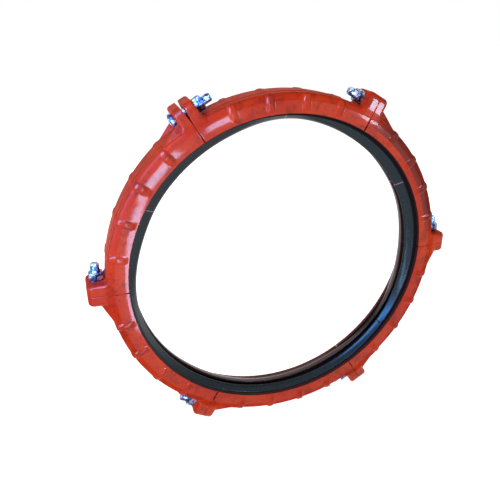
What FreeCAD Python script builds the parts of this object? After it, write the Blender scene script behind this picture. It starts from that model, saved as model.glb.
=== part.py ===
import FreeCAD, Part
import math
import os

import Sketcher
from FreeCAD import Placement, Rotation, Vector

# Six-segment grooved pipe coupling, standing on its rim as it is stored.
# The origin is the centre of the coupling. +Y runs along the pipe's axis, +Z is up, and angles
# round the ring are counted from +X towards +Z.

# Driving dimensions
# Name, value in millimetres or degrees or a plain count, and what it is.
SIZES = [
    ("segment_count", 6, "castings that make up the ring"),
    ("key_radius", 301.0, "inner radius of the two keys, which sit in the pipe's grooves"),
    ("key_width", 9.0, "width of one key along the pipe"),
    ("housing_width", 70.0, "width of the castings along the pipe"),
    ("face_height", 22.0, "height of the flat side face above the key's edge"),
    ("shoulder_run", 4.5, "distance along the pipe that the sloped shoulder takes"),
    ("channel_depth", 26.0, "depth of the gasket channel above the key's edge"),
    ("channel_wall_height", 12.0, "height of the channel's upright side wall"),
    ("channel_roof_width", 38.0, "flat width of the channel's roof"),
    ("wall_thickness", 10.7, "iron above the channel's roof"),
    ("band_width", 24.0, "width of the raised band round the middle of the castings"),
    ("band_height", 1.0, "height of the raised band"),
    ("band_slope", 2.5, "distance along the pipe that the band's edge slopes over"),
    ("edge_bevel", 2.5, "bevel along the casting's two outer edges"),
    ("parting_gap", 2.0, "gap between two castings"),
    ("rib_count", 4, "ribs on each casting"),
    ("rib_spacing", 12.0, "angle between two ribs"),
    ("rib_height", 3.6, "height of a rib above the casting's side face"),
    ("rib_crown_height", 1.4, "height of a rib above the casting's wall"),
    ("rib_foot_height", 0.2, "height at which a rib's sloped sides leave the skin"),
    ("rib_foot_width", 12.0, "width of a rib at its foot"),
    ("rib_top_width", 6.0, "width of a rib at its top"),
    ("rib_inset", 7.0, "distance from the key's edge to the start of a rib"),
    ("rib_runout", 4.0, "distance over which a rib's end rises from the side face"),
    ("bolt_standoff", 15.5, "height of the bolt's centre above the casting's wall"),
    ("ear_margin", 19.0, "iron outside the bolt's centre, measured radially"),
    ("ear_width", 60.0, "width of an ear along the pipe"),
    ("ear_thickness", 19.5, "thickness of an ear from the parting plane to its seat"),
    ("ear_corner", 12.0, "rounding of an ear's outer corners"),
    ("web_thickness", 9.0, "thickness of the webs beside the bolt's head"),
    ("web_height", 14.0, "height of the web at the ear"),
    ("web_run", 44.0, "length of the web behind the ear"),
    ("web_waist_height", 6.5, "height of the web at its waist"),
    ("web_waist_run", 18.0, "distance from the ear to the web's waist"),
    ("bolt_diameter", 16.0, "nominal diameter of the track bolt"),
    ("bolt_clearance", 1.0, "clearance all round the bolt in its hole"),
    ("neck_width", 22.0, "length of the bolt's oval neck along the pipe"),
    ("neck_length", 12.0, "length of the bolt's oval neck along the bolt"),
    ("head_diameter", 28.0, "diameter of the bolt's round head"),
    ("head_height", 10.0, "height of the bolt's domed head"),
    ("head_rim", 5.0, "height of the upright rim of the head"),
    ("head_crown", 16.0, "diameter of the flat middle of the dome"),
    ("bolt_projection", 16.0, "bolt end standing out of the nut"),
    ("nut_across_flats", 24.0, "size of the nut across its flats"),
    ("nut_height", 16.0, "height of the nut"),
    ("thread_clearance", 0.1, "gap between the bolt and the nut's bore, for the plain thread"),
    ("gasket_clearance", 0.3, "gap between the gasket and the channel"),
    ("lip_reach", 11.0, "how far the gasket's sealing lips stand inside the keys"),
    ("lip_land", 5.0, "width of the cylindrical land on a lip"),
    ("lip_gap", 24.0, "opening between the two lips"),
    ("lip_thickness", 6.5, "thickness of a lip at its tip"),
    ("lip_rise", 5.0, "height of the lip's shoulder above its land"),
    ("gasket_side", 6.5, "thickness of the gasket's side leg"),
    ("gasket_back", 9.0, "thickness of the gasket's back"),
    ("gasket_heel", 3.0, "bevel of the gasket's shoulder"),
]

# Joints of the ring, by number: the side of the joint on which its nut sits.
# +1 is the side of growing angle. The nuts of the two joints on the right face up.
NUT_SIDES = [1, 1, -1, -1, -1, -1]

# Sizes worked out from the driving dimensions, as expressions for the document
HALF_WIDTH = "(sizes.housing_width / 2)"
KEY_INSIDE = "(sizes.housing_width / 2 - sizes.key_width)"
ROOF_HALF = "(sizes.channel_roof_width / 2)"
CHANNEL_WALL_TOP = "(sizes.key_radius + sizes.channel_wall_height)"
CHANNEL_ROOF = "(sizes.key_radius + sizes.channel_depth)"
WALL_RADIUS = "(sizes.key_radius + sizes.channel_depth + sizes.wall_thickness)"
FACE_RADIUS = "(sizes.key_radius + sizes.face_height)"
SHOULDER_INSIDE = "(sizes.housing_width / 2 - sizes.shoulder_run)"
BAND_RADIUS = f"({WALL_RADIUS} + sizes.band_height)"
BOLT_CIRCLE = f"({WALL_RADIUS} + sizes.bolt_standoff)"
EAR_RADIUS = f"({BOLT_CIRCLE} + sizes.ear_margin)"
WALL_MIDDLE = "(sizes.key_radius + sizes.channel_depth + sizes.wall_thickness / 2)"
HALF_SEGMENT = "(180 / sizes.segment_count)"
LIP_RADIUS = "(sizes.key_radius - sizes.lip_reach)"
SEAT = "(sizes.parting_gap / 2 + sizes.ear_thickness)"
HOLE_WIDTH = "(sizes.bolt_diameter + 2 * sizes.bolt_clearance)"
HOLE_LENGTH = "(sizes.neck_width + 2 * sizes.bolt_clearance)"

doc = FreeCAD.newDocument("grooved_coupling")


def make_sheet():
    """The spreadsheet of driving dimensions: name, value and meaning in each row."""
    table = doc.addObject("Spreadsheet::Sheet", "sizes")
    for row, (name, value, meaning) in enumerate(SIZES, start=1):
        table.set(f"A{row}", name)
        table.set(f"B{row}", str(value))
        table.setAlias(f"B{row}", name)
        table.set(f"C{row}", meaning)
    doc.recompute()
    return table


sizes = make_sheet()


def value(expression):
    """The present value of an expression on the spreadsheet, as a plain number."""
    return float(sizes.evalExpression(expression.replace("sizes.", "")))


def new_body(label):
    """An empty body that carries the sub-part's name."""
    body = doc.addObject("PartDesign::Body", label)
    body.Label = label
    return body


def origin_feature(body, role):
    """One of a body's own origin planes or axes."""
    return next(item for item in body.Origin.OriginFeatures if item.Role == role)


def new_sketch(body, name, role, turn=None, shift=None):
    """A sketch on an origin plane, turned about the Y axis and shifted along its normal."""
    sketch = body.newObject("Sketcher::SketchObject", name)
    sketch.AttachmentSupport = [(origin_feature(body, role), "")]
    sketch.MapMode = "FlatFace"
    angle = value(turn) if turn else 0.0
    rise = value(shift) if shift else 0.0
    spin = Rotation(Vector(0, 1, 0), angle)
    sketch.AttachmentOffset = Placement(spin.multVec(Vector(0, 0, rise)), spin)
    if turn:
        sketch.setExpression("AttachmentOffset.Rotation.Angle", turn)
    if shift:
        sketch.setExpression("AttachmentOffset.Base.x", f"({shift}) * sin({turn or 0})")
        sketch.setExpression("AttachmentOffset.Base.z", f"({shift}) * cos({turn or 0})")
    return sketch


def bind(sketch, kind, places, expression):
    """Adds one driving constraint and ties it to the spreadsheet."""
    number = sketch.addConstraint(Sketcher.Constraint(kind, *places, value(expression)))
    sketch.setExpression(f"Constraints[{number}]", expression)


def place_point(sketch, geometry, point, across, along):
    """Holds a point of a sketch at two distances from the origin."""
    bind(sketch, "DistanceX", (-1, 1, geometry, point), across)
    bind(sketch, "DistanceY", (-1, 1, geometry, point), along)


def place_on_ring(body, angle, radius="0", flipped=False):
    """Stands a body at an angle of the ring, its X axis pointing outward, or flipped end for end."""
    turn = Rotation(Vector(0, -1, 0), value(angle))
    if flipped:
        turn = turn.multiply(Rotation(Vector(1, 0, 0), 180))
    across = f"{radius} * cos({angle})"
    upward = f"{radius} * sin({angle})"
    body.Placement = Placement(Vector(value(across), 0, value(upward)), turn)
    body.setExpression("Placement.Base.x", across)
    body.setExpression("Placement.Base.z", upward)


def copy_body(first, label):
    """Another body of the same shape, not placed yet."""
    body = new_body(label)
    shape = body.newObject("PartDesign::FeatureBase", label + "_shape")
    shape.BaseFeature = first
    body.Tip = shape
    return body


def draw_outline(sketch, corners):
    """A closed outline of straight lines through corners, each a pair of expressions."""
    spots = [Vector(value(across), value(along), 0) for across, along in corners]
    count = len(spots)
    for index, spot in enumerate(spots):
        sketch.addGeometry(Part.LineSegment(spot, spots[(index + 1) % count]), False)
    for index in range(count):
        sketch.addConstraint(Sketcher.Constraint("Coincident", index, 2, (index + 1) % count, 1))
    for index, (across, along) in enumerate(corners):
        place_point(sketch, index, 1, across, along)


def mirrored_outline(half):
    """Corners of an outline that is the same on both sides of the ring's middle plane."""
    other = [(across, f"-({along})") for across, along in reversed(half)]
    return half + other


def draw_slot(sketch, centre, width, length):
    """A slot of round ends that runs along Y, centred at a distance along X."""
    radius = value(width) / 2
    middle = value(centre)
    reach = (value(length) - value(width)) / 2
    normal = Vector(0, 0, 1)
    for side in (1, -1):
        circle = Part.Circle(Vector(middle, side * reach, 0), normal, radius)
        start = 0.0 if side > 0 else math.pi
        sketch.addGeometry(Part.ArcOfCircle(circle, start, start + math.pi), False)
    left = (Vector(middle - radius, reach, 0), Vector(middle - radius, -reach, 0))
    right = (Vector(middle + radius, -reach, 0), Vector(middle + radius, reach, 0))
    sketch.addGeometry(Part.LineSegment(*left), False)
    sketch.addGeometry(Part.LineSegment(*right), False)
    for arc, arc_end, line, line_end in ((0, 2, 2, 1), (1, 1, 2, 2), (1, 2, 3, 1), (0, 1, 3, 2)):
        sketch.addConstraint(Sketcher.Constraint("Tangent", arc, arc_end, line, line_end))
    bind(sketch, "Radius", (0,), f"({width}) / 2")
    place_point(sketch, 0, 3, centre, f"(({length}) - ({width})) / 2")
    place_point(sketch, 1, 3, centre, f"-(({length}) - ({width})) / 2")


def add_revolution(body, sketch, axis, angle="360"):
    """Turns a sketch about one of its own axes, half the angle to each side."""
    feature = body.newObject("PartDesign::Revolution", sketch.Name + "_turned")
    feature.Profile = sketch
    feature.ReferenceAxis = (sketch, [axis])
    feature.Angle = value(angle)
    feature.setExpression("Angle", angle)
    feature.Midplane = angle != "360"
    sketch.Visibility = False
    return feature


def add_pad(body, sketch, length, midplane=False, reverse=False):
    """Raises a sketch into a solid."""
    feature = body.newObject("PartDesign::Pad", sketch.Name + "_pad")
    feature.Profile = sketch
    feature.Length = value(length)
    feature.setExpression("Length", length)
    feature.Midplane = midplane
    feature.Reversed = reverse
    sketch.Visibility = False
    return feature


def add_pocket(body, sketch, length, midplane=False, reverse=False):
    """Cuts a sketch out of the body, and stops if nothing was cut."""
    doc.recompute()
    before = body.Shape.Volume
    feature = body.newObject("PartDesign::Pocket", sketch.Name + "_cut")
    feature.Profile = sketch
    feature.Length = value(length)
    feature.setExpression("Length", length)
    feature.Midplane = midplane
    feature.Reversed = reverse
    sketch.Visibility = False
    doc.recompute()
    if not body.Shape.Volume < before - 1.0:
        raise RuntimeError(f"{feature.Name} cuts nothing from {body.Label}")
    return feature


# Housing segment
# A channel casting, with ribs across it and a bolt ear at each end. In its own frame its middle
# lies on +X, and the pipe's axis is Y. Its near end is the one at the growing angle.
# An ear that takes a bolt's head has two long webs. One that takes a nut is clear for the wrench.

def channel_profile(body):
    """Section of the casting: two keys, flat side faces, sloped shoulders and a low raised band."""
    sketch = new_sketch(body, "channel", "XY_Plane")
    half = [
        ("sizes.key_radius", KEY_INSIDE),
        ("sizes.key_radius", HALF_WIDTH),
        (FACE_RADIUS, HALF_WIDTH),
        (f"{WALL_RADIUS} - sizes.edge_bevel", SHOULDER_INSIDE),
        (WALL_RADIUS, f"{SHOULDER_INSIDE} - sizes.edge_bevel"),
        (WALL_RADIUS, "sizes.band_width / 2 + sizes.band_slope"),
        (BAND_RADIUS, "sizes.band_width / 2"),
    ]
    inner = [
        (CHANNEL_ROOF, f"-{ROOF_HALF}"),
        (CHANNEL_ROOF, ROOF_HALF),
        (CHANNEL_WALL_TOP, KEY_INSIDE),
    ]
    draw_outline(sketch, mirrored_outline(half) + [(CHANNEL_WALL_TOP, f"-{KEY_INSIDE}")] + inner)
    return sketch


def rib_section(body, name, distance, start, height, crown):
    """Saddle-shaped slice of a rib, a height proud of the side faces and another of the wall."""
    first_rib = "(sizes.rib_count - 1) / 2 * sizes.rib_spacing"
    sketch = new_sketch(body, name, "XY_Plane", turn=first_rib, shift=distance)
    half = [
        (start, "(sizes.housing_width / 2 - sizes.key_width / 2)"),
        (start, f"{HALF_WIDTH} + {height}"),
        (FACE_RADIUS, f"{HALF_WIDTH} + {height}"),
        (f"{WALL_RADIUS} + {crown}", f"{SHOULDER_INSIDE} + {height}"),
    ]
    inner = [
        (WALL_MIDDLE, f"-{ROOF_HALF}"),
        (WALL_MIDDLE, ROOF_HALF),
    ]
    draw_outline(sketch, mirrored_outline(half) + inner)
    sketch.Visibility = False
    return sketch


def add_ribs(body):
    """One drafted rib, lofted from foot to top to foot, and its copies round the casting."""
    start = "(sizes.key_radius + sizes.rib_inset)"
    foot = (start, "sizes.rib_foot_height", "sizes.rib_foot_height")
    top = (f"{start} + sizes.rib_runout", "sizes.rib_height", "sizes.rib_crown_height")
    slices = [
        rib_section(body, "rib_foot_near", "-sizes.rib_foot_width / 2", *foot),
        rib_section(body, "rib_top_near", "-sizes.rib_top_width / 2", *top),
        rib_section(body, "rib_top_far", "sizes.rib_top_width / 2", *top),
        rib_section(body, "rib_foot_far", "sizes.rib_foot_width / 2", *foot),
    ]
    loft = body.newObject("PartDesign::AdditiveLoft", "rib")
    loft.Profile = slices[0]
    loft.Sections = slices[1:]
    loft.Ruled = True
    doc.recompute()
    pattern = body.newObject("PartDesign::PolarPattern", "ribs")
    pattern.Originals = [loft]
    pattern.Axis = (origin_feature(body, "Y_Axis"), [""])
    pattern.Mode = "Spacing"
    pattern.Offset = value("sizes.rib_spacing")
    pattern.setExpression("Offset", "sizes.rib_spacing")
    pattern.Occurrences = int(value("sizes.rib_count"))
    pattern.setExpression("Occurrences", "sizes.rib_count")
    pattern.Reversed = True
    body.Tip = pattern
    doc.recompute()


def ear_outline(body):
    """Face of an ear on the parting plane: straight sides and two large rounded corners."""
    sketch = new_sketch(body, "ear", "XY_Plane", turn=f"-{HALF_SEGMENT}")
    root = value(WALL_MIDDLE)
    top = value(EAR_RADIUS)
    half = value("sizes.ear_width") / 2
    corner = value("sizes.ear_corner")
    normal = Vector(0, 0, 1)
    quarter = math.pi / 2
    side = Vector(top - corner, half, 0)
    sketch.addGeometry(Part.LineSegment(Vector(root, -half, 0), Vector(root, half, 0)), False)
    sketch.addGeometry(Part.LineSegment(Vector(root, half, 0), side), False)
    upper = Part.Circle(Vector(top - corner, half - corner, 0), normal, corner)
    sketch.addGeometry(Part.ArcOfCircle(upper, 0.0, quarter), False)
    rim = (Vector(top, half - corner, 0), Vector(top, corner - half, 0))
    sketch.addGeometry(Part.LineSegment(*rim), False)
    lower = Part.Circle(Vector(top - corner, corner - half, 0), normal, corner)
    sketch.addGeometry(Part.ArcOfCircle(lower, -quarter, 0.0), False)
    side = (Vector(top - corner, -half, 0), Vector(root, -half, 0))
    sketch.addGeometry(Part.LineSegment(*side), False)
    sketch.addConstraint(Sketcher.Constraint("Coincident", 0, 2, 1, 1))
    sketch.addConstraint(Sketcher.Constraint("Coincident", 5, 2, 0, 1))
    for line, line_end, arc, arc_end in ((1, 2, 2, 2), (3, 1, 2, 1), (3, 2, 4, 2), (5, 1, 4, 1)):
        sketch.addConstraint(Sketcher.Constraint("Tangent", line, line_end, arc, arc_end))
    place_point(sketch, 0, 1, WALL_MIDDLE, "-sizes.ear_width / 2")
    place_point(sketch, 0, 2, WALL_MIDDLE, "sizes.ear_width / 2")
    corner_x = f"{EAR_RADIUS} - sizes.ear_corner"
    place_point(sketch, 2, 3, corner_x, "sizes.ear_width / 2 - sizes.ear_corner")
    place_point(sketch, 4, 3, corner_x, "sizes.ear_corner - sizes.ear_width / 2")
    bind(sketch, "Radius", (2,), "sizes.ear_corner")
    return sketch


def web_outline(body, end, side):
    """Long sloping web that stiffens an ear beside the bolt's head, at the near or the far end."""
    name = "web_front" if side < 0 else "web_rear"
    sketch = new_sketch(body, name, "XZ_Plane")
    outer = f"{side} * (sizes.ear_width / 2 - sizes.web_thickness / 2)"
    turn = f"{-end} * {HALF_SEGMENT}"
    spin = Rotation(Vector(0, 0, 1), value(turn))
    sketch.AttachmentOffset = Placement(Vector(0, 0, -value(outer)), spin)
    sketch.setExpression("AttachmentOffset.Base.z", f"-({outer})")
    sketch.setExpression("AttachmentOffset.Rotation.Angle", turn)
    toe = f"sqrt({WALL_RADIUS} ^ 2 - ({SEAT} + sizes.web_run) ^ 2)"
    corners = [
        (WALL_MIDDLE, f"{end} * sizes.ear_thickness / 2"),
        (f"{toe} - sizes.wall_thickness / 2", f"{end} * ({SEAT} + sizes.web_run)"),
        (toe, f"{end} * ({SEAT} + sizes.web_run)"),
        (f"{WALL_RADIUS} + sizes.web_waist_height", f"{end} * ({SEAT} + sizes.web_waist_run)"),
        (f"{WALL_RADIUS} + sizes.web_height", f"{end} * {SEAT}"),
        (f"{WALL_RADIUS} + sizes.web_height", f"{end} * sizes.ear_thickness / 2"),
    ]
    draw_outline(sketch, corners)
    return sketch


def add_webs(body, near, far):
    """The two webs of the ears that take a bolt's head: at the near end, the far end or both."""
    if not near and not far:
        return
    webs = [
        add_pad(body, web_outline(body, -1 if near else 1, side), "sizes.web_thickness", midplane=True)
        for side in (-1, 1)
    ]
    if near and far:
        add_mirror(body, webs, "far_webs")


def add_mirror(body, originals, name):
    """The mirror image of features at the casting's other end."""
    mirror = body.newObject("PartDesign::Mirrored", name)
    mirror.Originals = originals
    mirror.MirrorPlane = (origin_feature(body, "XY_Plane"), [""])
    body.Tip = mirror
    doc.recompute()


def add_ears(body, near_head, far_head):
    """An ear at each end, webs where a bolt's head sits, then holes and parting cuts."""
    ear = add_pad(body, ear_outline(body), "sizes.ear_thickness", reverse=True)
    add_mirror(body, [ear], "far_ear")
    add_webs(body, near_head, far_head)
    ends = (("near", f"-{HALF_SEGMENT}", False), ("far", HALF_SEGMENT, True))
    for end, turn, reverse in ends:
        hole = new_sketch(body, f"{end}_bolt_hole", "XY_Plane", turn=turn)
        draw_slot(hole, BOLT_CIRCLE, HOLE_WIDTH, HOLE_LENGTH)
        add_pocket(body, hole, "sizes.ear_thickness + sizes.web_run", reverse=reverse)
    reach = f"({HALF_WIDTH} + sizes.rib_height)"
    below = "sizes.key_radius - sizes.channel_depth"
    above = f"{EAR_RADIUS} + sizes.ear_margin"
    corners = [(below, f"-{reach}"), (below, reach), (above, reach), (above, f"-{reach}")]
    for end, turn, reverse in ends:
        cut = new_sketch(body, f"{end}_parting", "XY_Plane", turn=turn)
        draw_outline(cut, corners)
        add_pocket(body, cut, "sizes.parting_gap / 2", reverse=reverse)


def make_segment(label, near_head, far_head):
    """A whole casting, with webs at the ears that take a bolt's head."""
    body = new_body(label)
    add_revolution(body, channel_profile(body), "V_Axis", f"2 * {HALF_SEGMENT}")
    add_ribs(body)
    add_ears(body, near_head, far_head)
    return body


def make_castings():
    """The six castings. Each kind of end is modelled once, and castings alike are its copies."""
    kinds = {}
    castings = []
    for number in range(1, len(NUT_SIDES) + 1):
        label = f"housing_segment_{number}"
        near_head = NUT_SIDES[number % len(NUT_SIDES)] > 0
        far_head = NUT_SIDES[number - 1] < 0
        kind = (near_head, far_head)
        if kind in kinds:
            casting = copy_body(kinds[kind], label)
        else:
            casting = make_segment(label, near_head, far_head)
            kinds[kind] = casting
        castings.append(casting)
    return castings


# Gasket
# A moulded C-section ring that fills the channel. Its two lips turn in towards each other.

def make_gasket():
    """The gasket, one full turn of its section."""
    body = new_body("gasket")
    sketch = new_sketch(body, "gasket_section", "XY_Plane")
    roof = f"({CHANNEL_ROOF} - sizes.gasket_clearance)"
    side = f"({KEY_INSIDE} - sizes.gasket_clearance)"
    shoulder = f"({CHANNEL_WALL_TOP} - sizes.gasket_clearance)"
    roof_half = f"({ROOF_HALF} - sizes.gasket_clearance)"
    tip = "(sizes.lip_gap / 2)"
    inner_side = f"({side} - sizes.gasket_side)"
    heel = f"({LIP_RADIUS} + sizes.lip_rise)"
    half = [
        (shoulder, side),
        (f"{heel} + sizes.gasket_heel", side),
        (heel, f"{side} - sizes.gasket_heel"),
        (LIP_RADIUS, f"{tip} + sizes.lip_land"),
        (LIP_RADIUS, tip),
        (f"{LIP_RADIUS} + sizes.lip_thickness", tip),
        (f"{heel} + sizes.lip_thickness", inner_side),
        (f"{roof} - sizes.gasket_back", f"{roof_half} - sizes.gasket_side"),
    ]
    back = [(roof, f"-{roof_half}"), (roof, roof_half)]
    draw_outline(sketch, mirrored_outline(half) + back)
    add_revolution(body, sketch, "V_Axis")
    return body


# Bolts and nuts
# The first of each stands at joint 1, on +X. In its own frame a bolt runs along +Z from head to
# nut, from a point in the middle of the parting gap.

def bolt_profile(body):
    """Half section of the bolt: domed head and shank."""
    sketch = new_sketch(body, "bolt_section", "XZ_Plane")
    radius = "sizes.bolt_diameter / 2"
    end = f"{SEAT} + sizes.nut_height + sizes.bolt_projection"
    corners = [
        ("0", f"-({SEAT} + sizes.head_height)"),
        ("sizes.head_crown / 2", f"-({SEAT} + sizes.head_height)"),
        ("sizes.head_diameter / 2", f"-({SEAT} + sizes.head_rim)"),
        ("sizes.head_diameter / 2", f"-{SEAT}"),
        (radius, f"-{SEAT}"),
        (radius, end),
        ("0", end),
    ]
    draw_outline(sketch, corners)
    return sketch


def make_bolt():
    """A track bolt: round head, oval neck that fits the ear's hole, and a plain thread length."""
    body = new_body("track_bolt_1")
    add_revolution(body, bolt_profile(body), "V_Axis")
    neck = new_sketch(body, "neck", "XY_Plane", shift=f"-{SEAT}")
    draw_slot(neck, "0", "sizes.bolt_diameter", "sizes.neck_width")
    add_pad(body, neck, "sizes.neck_length")
    return body


def make_nut():
    """A heavy hexagon nut, seated on the ear."""
    body = new_body("nut_1")
    sketch = new_sketch(body, "hexagon", "XY_Plane", shift=SEAT)
    flat = "(sizes.nut_across_flats / 2)"
    corner = "(sizes.nut_across_flats / sqrt(3))"
    corners = [
        (flat, f"-{corner} / 2"),
        (flat, f"{corner} / 2"),
        ("0", corner),
        (f"-{flat}", f"{corner} / 2"),
        (f"-{flat}", f"-{corner} / 2"),
        ("0", f"-{corner}"),
    ]
    draw_outline(sketch, corners)
    add_pad(body, sketch, "sizes.nut_height")
    bore = new_sketch(body, "bore", "XY_Plane", shift=SEAT)
    circle = Part.Circle(Vector(0, 0, 0), Vector(0, 0, 1), value("sizes.bolt_diameter / 2"))
    bore.addGeometry(circle, False)
    bore.addConstraint(Sketcher.Constraint("Coincident", 0, 3, -1, 1))
    bind(bore, "Radius", (0,), "sizes.bolt_diameter / 2 + sizes.thread_clearance")
    add_pocket(body, bore, "sizes.nut_height", reverse=True)
    return body


def check_and_export(bodies):
    """Stops on any failed feature or bad shape, then writes each sub-part to its own file."""
    doc.recompute()
    for item in doc.Objects:
        if "Invalid" in item.State or "Error" in item.State:
            raise RuntimeError(f"{item.Name} failed: {item.State}")
    os.makedirs("parts", exist_ok=True)
    for body in bodies:
        shape = body.Shape
        if shape.isNull() or not shape.isValid() or len(shape.Solids) != 1:
            raise RuntimeError(f"{body.Label} is not one valid solid")
        shape.exportStep(os.path.join("parts", body.Label + ".step"))
        print(body.Label, "volume", round(shape.Volume / 1000.0, 1), "cm3")


def make_ring(castings, bolt, nut):
    """Places the six castings, and a bolt and a nut at each joint."""
    pieces = []
    for number, (casting, nut_side) in enumerate(zip(castings, NUT_SIDES), start=1):
        first = number == 1
        joint_bolt = bolt if first else copy_body(bolt, f"track_bolt_{number}")
        joint_nut = nut if first else copy_body(nut, f"nut_{number}")
        joint = f"{2 * number - 2} * {HALF_SEGMENT}"
        place_on_ring(casting, f"{2 * number - 1} * {HALF_SEGMENT}")
        place_on_ring(joint_bolt, joint, BOLT_CIRCLE, flipped=nut_side < 0)
        place_on_ring(joint_nut, joint, BOLT_CIRCLE, flipped=nut_side < 0)
        pieces += [casting, joint_bolt, joint_nut]
    return pieces


check_and_export(make_ring(make_castings(), make_bolt(), make_nut()) + [make_gasket()])
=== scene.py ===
import math

import bpy
import numpy as np
from mathutils import Matrix, Vector


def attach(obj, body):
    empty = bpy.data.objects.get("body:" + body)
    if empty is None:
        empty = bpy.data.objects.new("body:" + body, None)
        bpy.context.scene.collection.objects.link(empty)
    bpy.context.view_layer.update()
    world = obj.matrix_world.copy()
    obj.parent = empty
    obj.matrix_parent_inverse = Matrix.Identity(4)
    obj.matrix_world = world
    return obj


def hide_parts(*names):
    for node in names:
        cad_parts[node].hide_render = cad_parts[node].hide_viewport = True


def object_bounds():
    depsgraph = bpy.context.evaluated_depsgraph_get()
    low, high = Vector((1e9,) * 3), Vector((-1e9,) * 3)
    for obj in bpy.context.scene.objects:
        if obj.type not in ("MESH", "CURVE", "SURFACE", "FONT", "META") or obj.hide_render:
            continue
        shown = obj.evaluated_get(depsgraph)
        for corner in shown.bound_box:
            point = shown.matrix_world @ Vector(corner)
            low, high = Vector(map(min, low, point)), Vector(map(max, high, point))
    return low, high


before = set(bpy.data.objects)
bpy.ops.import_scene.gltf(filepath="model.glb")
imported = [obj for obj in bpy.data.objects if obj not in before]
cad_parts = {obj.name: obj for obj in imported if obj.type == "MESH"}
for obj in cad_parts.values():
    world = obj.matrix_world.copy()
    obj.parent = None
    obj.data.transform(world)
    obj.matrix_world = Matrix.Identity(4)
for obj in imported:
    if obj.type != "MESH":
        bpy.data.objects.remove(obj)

# %% [markdown]
# # A six-segment coupling for grooved pipe
#
# The real object is a ring of six iron castings, painted in orange-red enamel. Bolts draw them
# together round a black rubber gasket, and two narrow keys on the inside of the ring sit in grooves
# that are rolled into the ends of two pipes.
#
# The model comes in as one plain solid for each piece, exact in size but with sharp edges and flat
# colours. This lesson makes each piece again as a smooth surface in the same place, with the soft
# edges of a casting, cut threads and a moulded gasket, and then gives it paint, zinc and rubber.

# %% The frame's box; its bottom sets the floor's height
cad_low, cad_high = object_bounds()
print("CAD box in mm", [round(1000 * v) for v in cad_low], [round(1000 * v) for v in cad_high])

# %% [markdown]
# ## Sizes
#
# All sizes are in millimetres, as on a drawing, and are turned into metres only where a mesh is
# made. Places on the ring are given in three numbers: the radius from the pipe's axis, the distance
# along the pipe (y), and the angle round the ring, counted from +X towards +Z. In these terms a ring
# is simple, and the same few lines make a casting at any of its six places.

# %% Driving sizes
MM = 0.001
SEGMENTS = 6
HALF_ANGLE = math.pi / SEGMENTS
KEY_RADIUS = 301.0
KEY_WIDTH = 9.0
HALF_WIDTH = 35.0
FACE_RADIUS = 323.0
WALL_RADIUS = 337.7
SHOULDER_Y = 30.5
ROOF_RADIUS = 327.0
ROOF_HALF = 19.0
KEY_INSIDE = HALF_WIDTH - KEY_WIDTH
CHANNEL_WALL_TOP = KEY_RADIUS + 12.0
PARTING_GAP = 2.0
BAND_HALF = 12.0
BAND_HEIGHT = 1.0
BAND_SLOPE = 2.5
BOLT_STANDOFF = 15.5
BOLT_CIRCLE = WALL_RADIUS + BOLT_STANDOFF
# A hair less than the solid's 19 mm, so that the ears stay inside its box.
EAR_MARGIN = 18.95
EAR_RADIUS = BOLT_CIRCLE + EAR_MARGIN
EAR_HALF = 30.0
EAR_THICKNESS = 19.5
SEAT = PARTING_GAP / 2 + EAR_THICKNESS
# For each joint, the side on which its nut sits: 1 is the side of growing angle.
NUT_SIDES = [1, 1, -1, -1, -1, -1]
print("castings", SEGMENTS, "bolt circle", BOLT_CIRCLE, "ear radius", EAR_RADIUS)

# %% [markdown]
# ## From a grid of points to a mesh
#
# Every surface below is a grid: one direction runs along the piece, the other runs round its
# section. A grid of points needs no drawing of faces by hand, because each face joins a point to its
# neighbour in both directions. Several grids can share one mesh, as the ears and the channel of a
# casting do.
#
# A closed surface has a volume, and its sign tells which way the faces point. That is the safest way
# to get them all outward: measure the volume, and turn the faces round if it is negative.

# %% Grids
def grid_faces(rows, columns, wrap_rows=False, wrap_columns=False):
    """Four corners of each face: a point, the next in its row, and the same two in the next row."""
    index = np.arange(rows * columns).reshape(rows, columns)
    if wrap_rows:
        index = np.vstack([index, index[:1]])
    if wrap_columns:
        index = np.hstack([index, index[:, :1]])
    a, b = index[:-1, :-1], index[:-1, 1:]
    c, d = index[1:, 1:], index[1:, :-1]
    return np.stack([a, b, c, d], axis=-1).reshape(-1, 4)


def shell_volume(points, quads, caps):
    """Signed volume: the sum of the tetrahedra that each triangle makes with the middle."""
    fans = [np.stack([np.full(len(cap) - 2, cap[0]), cap[1:-1], cap[2:]], axis=-1) for cap in caps]
    triangles = np.vstack([quads[:, [0, 1, 2]], quads[:, [0, 2, 3]]] + fans)
    a, b, c = (points[triangles[:, k]] - points.mean(axis=0) for k in range(3))
    return float(np.einsum("ij,ij->i", a, np.cross(b, c)).sum() / 6)


def closed_surface(grid, wrap_rows=False, wrap_columns=True, capped=False):
    """Points, quads and end caps of one closed surface, with its faces turned outward."""
    rows, columns = grid.shape[:2]
    points = grid.reshape(-1, 3)
    quads = grid_faces(rows, columns, wrap_rows, wrap_columns)
    first = np.arange(columns)[::-1]
    last = np.arange(columns) + (rows - 1) * columns
    caps = [first, last] if capped else []
    if shell_volume(points, quads, caps) < 0:
        quads = quads[:, ::-1]
        caps = [cap[::-1] for cap in caps]
    return points, quads, caps


print("faces of a 3 by 4 grid: open", len(grid_faces(3, 4)), "closed", len(grid_faces(3, 4, True, True)))

# %% One mesh object from closed surfaces
CASTING_SHARP, ZINC_SHARP = 38.0, 30.0


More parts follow.
